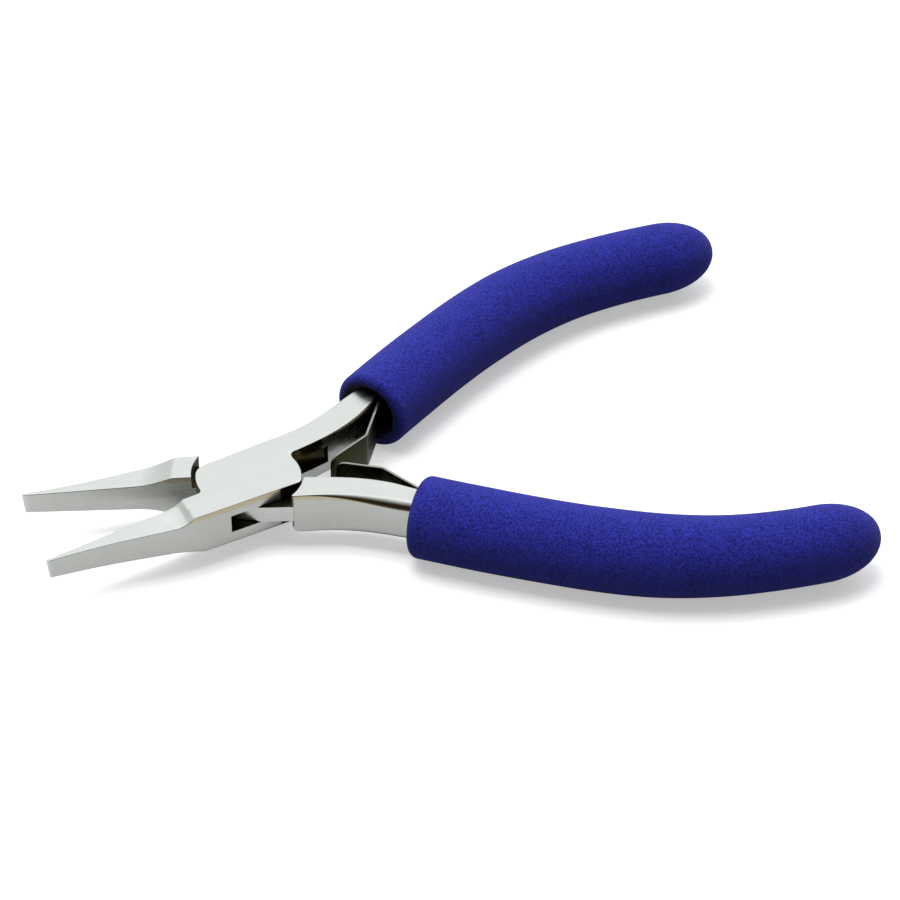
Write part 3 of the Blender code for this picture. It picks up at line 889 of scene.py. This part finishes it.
class Nodes:
    """Short names for building one material's nodes."""

    def __init__(self, name):
        self.material = bpy.data.materials.new(name)
        self.material.use_nodes = True
        self.tree = self.material.node_tree
        self.shader = self.tree.nodes["Principled BSDF"]

    def feed(self, socket, value):
        """Link a socket to an output, or set it to a plain value."""
        if isinstance(value, bpy.types.NodeSocket):
            self.tree.links.new(value, socket)
        else:
            socket.default_value = value

    def add(self, kind, settings=(), **inputs):
        """A new node with its settings and named inputs."""
        node = self.tree.nodes.new(kind)
        for key, value in dict(settings).items():
            setattr(node, key, value)
        for key, value in inputs.items():
            self.feed(node.inputs[key.replace("_", " ")], value)
        return node

    def set(self, name, value):
        """Feed one input of the surface shader."""
        self.feed(self.shader.inputs[name], value)

    def calc(self, operation, *values):
        """Result of a sum on numbers or outputs."""
        node = self.add("ShaderNodeMath", {"operation": operation})
        for socket, value in zip(node.inputs, values):
            self.feed(socket, value)
        return node.outputs[0]

    def part(self, value, low, high, interpolation="LINEAR"):
        """How far a value has gone from low to high, held between 0 and 1."""
        settings = {"interpolation_type": interpolation}
        node = self.add("ShaderNodeMapRange", settings, Value=value, From_Min=low, From_Max=high)
        return node.outputs[0]

    def blend(self, factor, colour, other, mode="MIX"):
        """Mix of two colours."""
        settings = {"data_type": "RGBA", "blend_type": mode}
        node = self.add("ShaderNodeMix", settings, Factor=factor, A=colour, B=other)
        return node.outputs["Result"]

    def noise(self, place, scale, detail, **inputs):
        """Noise value at a place."""
        node = self.add("ShaderNodeTexNoise", Vector=place, Scale=scale, Detail=detail, **inputs)
        return node.outputs[0]

    def height_of(self, vector):
        """The z part of a vector."""
        return self.add("ShaderNodeSeparateXYZ", Vector=vector).outputs["Z"]

    def distance(self, place, spot):
        """Distance of a place from a fixed point."""
        node = self.add("ShaderNodeVectorMath", {"operation": "DISTANCE"})
        self.feed(node.inputs[0], place)
        self.feed(node.inputs[1], spot)
        return node.outputs["Value"]


LINES_SCALE = (120.0, 3600.0, 3600.0)
STREAKS_SCALE = (60.0, 900.0, 900.0)
WORN_TINT = (0.5, 0.5, 0.5, 1.0)
# tan of the painted reflection band below the joint's top face
REFLECTION_TAN = (1.0, 0.86, 0.62, 1.0)
# brown of the painted dark reflection on the rounded upper edges
RIM_REFLECTION_BROWN = (0.20, 0.16, 0.10, 1.0)
# dark brown of the painted shade patch at the outer arm's root
SHADE_PATCH_BROWN = (0.07, 0.052, 0.02, 1.0)


def steel(name, angle, colour, warm, roughness, grain, worn_share=0.35, rim_reflection_paint=False):
    """Ground metal: grinding lines along a plan angle, faint cloudy tint, brighter worn edges, a
    painted tan reflection band and a painted dark brown shade patch; optionally a painted darker
    brown reflection on the rounded upper edges.
    """
    made = Nodes(name)
    row = made.add("ShaderNodeTexCoord").outputs["Object"]
    place = made.add("ShaderNodeMapping", Vector=row, Rotation=(0.0, 0.0, -angle)).outputs[0]
    stretch = made.add("ShaderNodeMapping", Vector=place, Scale=LINES_SCALE).outputs[0]
    lines = made.noise(stretch, 1.0, 4.0)
    wide = made.add("ShaderNodeMapping", Vector=place, Scale=STREAKS_SCALE).outputs[0]
    streaks = made.noise(wide, 1.0, 3.0)
    base = made.blend(made.noise(place, 230.0, 3.0), (*colour, 1.0), (*warm, 1.0))
    surface = made.add("ShaderNodeNewGeometry").outputs
    worn = made.calc("MULTIPLY", made.part(surface["Pointiness"], 0.515, 0.58), worn_share)
    bright = made.blend(worn, base, WORN_TINT, "SCREEN")
    level = made.height_of(surface["Normal"])
    wall = made.part(level, 0.85, 0.6)
    # painted reflection: a tan band on the walls just below the joint's top face
    shown = tan_reflection_band(made, row, wall, bright)
    # painted reflection: darker brown on the rounded upper edges of the inner half
    if rim_reflection_paint:
        shown = painted_rim_reflection(made, row, level, shown)
    # painted shade: a ragged dark brown patch on the walls at the root of the outer arm
    made.set("Base Color", painted_shade_patch(made, row, wall, shown))
    made.set("Metallic", 1.0)
    rough = made.add("ShaderNodeMapRange", Value=streaks, From_Min=0.3, From_Max=0.7,
                     To_Min=roughness - 0.05, To_Max=roughness + 0.06)
    made.set("Roughness", rough.outputs[0])
    first = made.add("ShaderNodeBump", Height=lines, Strength=grain, Distance=0.00003)
    second = made.add("ShaderNodeBump", Height=streaks, Strength=grain, Distance=0.00005,
                      Normal=first.outputs[0])
    made.set("Normal", second.outputs[0])
    return made.material


def tan_reflection_band(made, row, wall, colour):
    """A tan tint painted on the walls just below the joint's top face: a painted reflection."""
    rise = made.part(made.height_of(row), 0.0063, 0.0069)
    return made.blend(made.calc("MULTIPLY", rise, wall), colour, REFLECTION_TAN, "MULTIPLY")


def painted_rim_reflection(made, row, level, colour):
    """Darker brown painted on the rounded upper edges: a painted dark reflection."""
    steep = made.part(level, 0.86, 0.62, "SMOOTHSTEP")
    flat = made.part(level, 0.14, 0.30, "SMOOTHSTEP")
    high = made.part(made.height_of(row), 0.0052, 0.0060)
    share = made.calc("MULTIPLY", made.calc("MULTIPLY", steep, flat), high)
    return made.blend(share, colour, RIM_REFLECTION_BROWN, "MULTIPLY")


def painted_shade_patch(made, row, wall, colour):
    """A ragged dark brown patch of painted shade on the walls at the root of the outer arm."""
    ragged = made.noise(row, 700.0, 2.0)
    reach = made.calc("MULTIPLY_ADD", ragged, 0.0022, made.distance(row, SHADE_PATCH_SPOT))
    shade_share = made.calc("MULTIPLY", made.part(reach, 0.0050, 0.0042, "SMOOTHSTEP"), wall)
    return made.blend(shade_share, colour, SHADE_PATCH_BROWN)


DEEP_BLUE = (0.003, 0.004, 0.08, 1.0)
LIT_BLUE = (0.030, 0.036, 0.37, 1.0)
# near black of the painted shade around the sleeves' mouths
MOUTH_SHADE_BLUE = (0.002, 0.002, 0.008, 1.0)


def foam(name, mouth):
    """Fine closed-cell foam: matt violet blue, mottled cells, with painted shade around the
    mouth.
    """
    made = Nodes(name)
    place = made.add("ShaderNodeTexCoord").outputs["Object"]
    cells = made.add("ShaderNodeTexVoronoi", Vector=place, Scale=3400.0).outputs[0]
    grains = made.noise(place, 3300.0, 2.0, Roughness=0.6)
    patches = made.noise(place, 420.0, 3.0)
    mottle = made.calc("MULTIPLY_ADD", patches, 0.5, made.part(grains, 0.40, 0.60))
    tint = made.blend(made.calc("MULTIPLY", mottle, 0.66), DEEP_BLUE, LIT_BLUE)
    # painted shade: the foam goes near black within about 5 mm of the mouth's centre and is back
    # to mottled blue by 7 mm
    unshaded = made.part(made.distance(place, mouth), 0.0048, 0.0070, "SMOOTHSTEP")
    made.set("Base Color", made.blend(unshaded, MOUTH_SHADE_BLUE, tint))
    made.set("Roughness", 0.9)
    made.set("Specular IOR Level", 0.25)
    made.set("Sheen Weight", 0.12)
    made.set("Sheen Roughness", 0.5)
    made.set("Sheen Tint", (0.45, 0.45, 1.0, 1.0))
    pits = made.add("ShaderNodeBump", Height=cells, Strength=0.5, Distance=0.00010)
    soft = made.add("ShaderNodeBump", Height=grains, Strength=0.55, Distance=0.00012,
                    Normal=pits.outputs[0])
    made.set("Normal", soft.outputs[0])
    return made.material


def floor_paper():
    """Pale paper for the stage: darker for diffuse rays, and lifted for the camera's rays."""
    made = Nodes("floor_paper")
    path = made.add("ShaderNodeLightPath").outputs
    tone = made.add("ShaderNodeMapRange", Value=path["Is Diffuse Ray"], To_Min=0.64, To_Max=0.22)
    made.set("Base Color", tone.outputs[0])
    made.set("Emission Color", (1.0, 1.0, 1.0, 1.0))
    made.set("Emission Strength", made.calc("MULTIPLY", path["Is Camera Ray"], 0.42))
    made.set("Roughness", 0.9)
    made.set("Specular IOR Level", 0.1)
    return made.material


# ---------------------------------------------------------------- assembly

# centre of the painted shade patch at the root of the outer arm
SHADE_PATCH_SPOT = Matrix.Rotation(HALF_OPENING, 3, "Z") @ Vector((0.0118, 0.0012, 0.0)) + PIVOT
SHADE_PATCH_SPOT.z += 0.0018
GROUND, CLOUDED = (0.51, 0.52, 0.50), (0.485, 0.49, 0.46)
OUTER_STEEL = steel("outer_steel", HALF_OPENING, GROUND, CLOUDED, 0.27, 0.22)
INNER_STEEL = steel("inner_steel", -HALF_OPENING, GROUND, CLOUDED, 0.27, 0.22, rim_reflection_paint=True)
# near-black brown steel painted as shade on slot and bore walls, throat, shoulders, tongue faces
# and plate ends
SHADE_STEEL = steel(
    "painted_shade_steel", 0.0, (0.07, 0.062, 0.035), (0.02, 0.018, 0.01), 0.35, 0.3, 0.0)
# the leaves' broad faces are painted near black as shade; their narrow edges keep a lighter steel
SHADED_LEAF_STEEL = steel(
    "spring_steel_painted_shade", 0.0, (0.030, 0.031, 0.010), (0.018, 0.018, 0.006), 0.26, 0.12, 0.0)
LEAF_EDGE = steel("sheared_spring_edge", 0.0, (0.34, 0.34, 0.32), (0.2, 0.2, 0.18), 0.3, 0.2, 0.0)


def ride_for(piece, body, slot, *nodes):
    """Put a piece on its body in place of its CAD nodes."""
    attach(settle(piece), body)
    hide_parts(*nodes)


outer_body = outer_half((OUTER_STEEL, SHADE_STEEL))
ride_for(outer_body, "outer_half", "satin_steel", "outer_half")
inner_body = inner_half((INNER_STEEL, SHADE_STEEL))
ride_for(inner_body, "inner_half", "satin_steel", "inner_half")
ride_for(pivot_pin((OUTER_STEEL,)), "outer_half", "satin_steel", "pivot_pin")

for half, side, extra, start, end in (
    ("outer", 1.0, 0.6, 2.6, 82.6),
    ("inner", -1.0, 0.0, 1.9, 78.7),
):
    spring = leaf_spring(half + "_leaf_spring", side, extra, (SHADED_LEAF_STEEL, LEAF_EDGE))
    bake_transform(spring)
    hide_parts(half + "_leaf_blade", half + "_leaf_foot")
    screw = leaf_screw(half + "_slotted_screw", side, (OUTER_STEEL,))
    ride_for(screw, half + "_half", "satin_steel", half + "_leaf_screw")
    mouth = row_point(ROUTE.place(start, 0.0), side)
    cover = foam(half + "_closed_cell_foam", mouth)
    sleeve = foam_sleeve(half + "_foam_sleeve", side, start, end, (cover,))
    ride_for(sleeve, half + "_half", "blue_foam", half + "_grip")


# ---------------------------------------------------------------- stage, lights, camera

FLOOR_RADIUS = 1.5
FLOOR_SIDES = 64
FLOOR_GAP = 0.0001
STUDIO_BASE = 0.10
STUDIO_TINT = (0.97, 1.0, 1.02, 1.0)
STUDIO_PANELS = (
    # towards, outer and inner angle in degrees, strength
    ((0.42, 0.68, 0.60), 60.0, 18.0, 1.24),
    ((0.0, 0.25, 1.0), 50.0, 15.0, 0.55),
    ((-0.60, 0.62, 0.42), 36.0, 10.0, 0.85),
    ((0.0, -0.80, 0.60), 42.0, 14.0, 0.32),
)
CAMERA_AZIMUTH = math.radians(-18.303)
CAMERA_ELEVATION = math.radians(38.0)
CAMERA_DISTANCE = 0.58633
CAMERA_LENS = 140.72


def floor():
    """A wide pale floor just under the sleeves."""
    low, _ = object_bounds()
    bm = bmesh.new()
    ring = []
    for i in range(FLOOR_SIDES):
        turn = 2 * math.pi * i / FLOOR_SIDES
        spot = (FLOOR_RADIUS * math.cos(turn), FLOOR_RADIUS * math.sin(turn), 0.0)
        ring.append(bm.verts.new(spot))
    bm.faces.new(ring)
    mesh = bpy.data.meshes.new("floor")
    bm.to_mesh(mesh)
    bm.free()
    plane = bpy.data.objects.new("floor", mesh)
    plane.location = (0.0, 0.0, low.z - FLOOR_GAP)
    mesh.materials.append(floor_paper())
    bpy.context.scene.collection.objects.link(plane)
    plane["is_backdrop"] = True


def softbox(name, centre, target, width, height, power):
    """A rectangular area light that faces a target."""
    light = bpy.data.lights.new(name, "AREA")
    light.shape = "RECTANGLE"
    light.size = width
    light.size_y = height
    light.energy = power
    lamp = bpy.data.objects.new(name, light)
    lamp.location = centre
    way = Vector(target) - Vector(centre)
    lamp.rotation_euler = way.to_track_quat("-Z", "Y").to_euler()
    lamp.visible_glossy = False
    bpy.context.scene.collection.objects.link(lamp)


def world():
    """A dim studio with four soft panels, which the camera sees as plain white."""
    room = bpy.data.worlds.new("studio")
    bpy.context.scene.world = room
    room.use_nodes = True
    tree = room.node_tree
    link = tree.links.new
    way = tree.nodes.new("ShaderNodeTexCoord").outputs["Generated"]
    total = None
    for centre, outer, inner, strength in STUDIO_PANELS:
        dot = tree.nodes.new("ShaderNodeVectorMath")
        dot.operation = "DOT_PRODUCT"
        link(way, dot.inputs[0])
        dot.inputs[1].default_value = Vector(centre).normalized()
        panel = tree.nodes.new("ShaderNodeMapRange")
        panel.interpolation_type = "SMOOTHSTEP"
        link(dot.outputs["Value"], panel.inputs["Value"])
        panel.inputs["From Min"].default_value = math.cos(math.radians(outer))
        panel.inputs["From Max"].default_value = math.cos(math.radians(inner))
        panel.inputs["To Max"].default_value = strength
        add = tree.nodes.new("ShaderNodeMath")
        add.operation = "ADD"
        link(panel.outputs[0], add.inputs[0])
        if total is None:
            add.inputs[1].default_value = STUDIO_BASE
        else:
            link(total, add.inputs[1])
        total = add.outputs[0]
    seen = tree.nodes.new("ShaderNodeLightPath").outputs["Is Camera Ray"]
    shown = tree.nodes.new("ShaderNodeMix")
    link(seen, shown.inputs["Factor"])
    link(total, shown.inputs["A"])
    shown.inputs["B"].default_value = 1.0
    ground = tree.nodes["Background"]
    ground.inputs["Color"].default_value = STUDIO_TINT
    link(shown.outputs["Result"], ground.inputs["Strength"])


def camera():
    """The photograph's viewpoint."""
    across = math.sin(CAMERA_AZIMUTH) * math.cos(CAMERA_ELEVATION)
    away = -math.cos(CAMERA_AZIMUTH) * math.cos(CAMERA_ELEVATION)
    back = Vector((across, away, math.sin(CAMERA_ELEVATION)))
    aim = Vector((0.034878, 0.000603, PIVOT.z - GRIP_DROP * MM))
    lens = bpy.data.cameras.new("camera")
    lens.sensor_width = 36.0
    lens.lens = CAMERA_LENS
    lens.clip_start = 0.01
    eye = bpy.data.objects.new("camera", lens)
    eye.location = aim + back * CAMERA_DISTANCE
    eye.rotation_euler = (-back).to_track_quat("-Z", "Y").to_euler()
    bpy.context.scene.collection.objects.link(eye)
    bpy.context.scene.camera = eye


floor()
world()
softbox("top_softbox", (-0.1, 0.1, 0.9), (0.03, 0.0, 0.0), 0.55, 0.55, 7.5)
camera()
bpy.context.scene.view_settings.view_transform = "Standard"
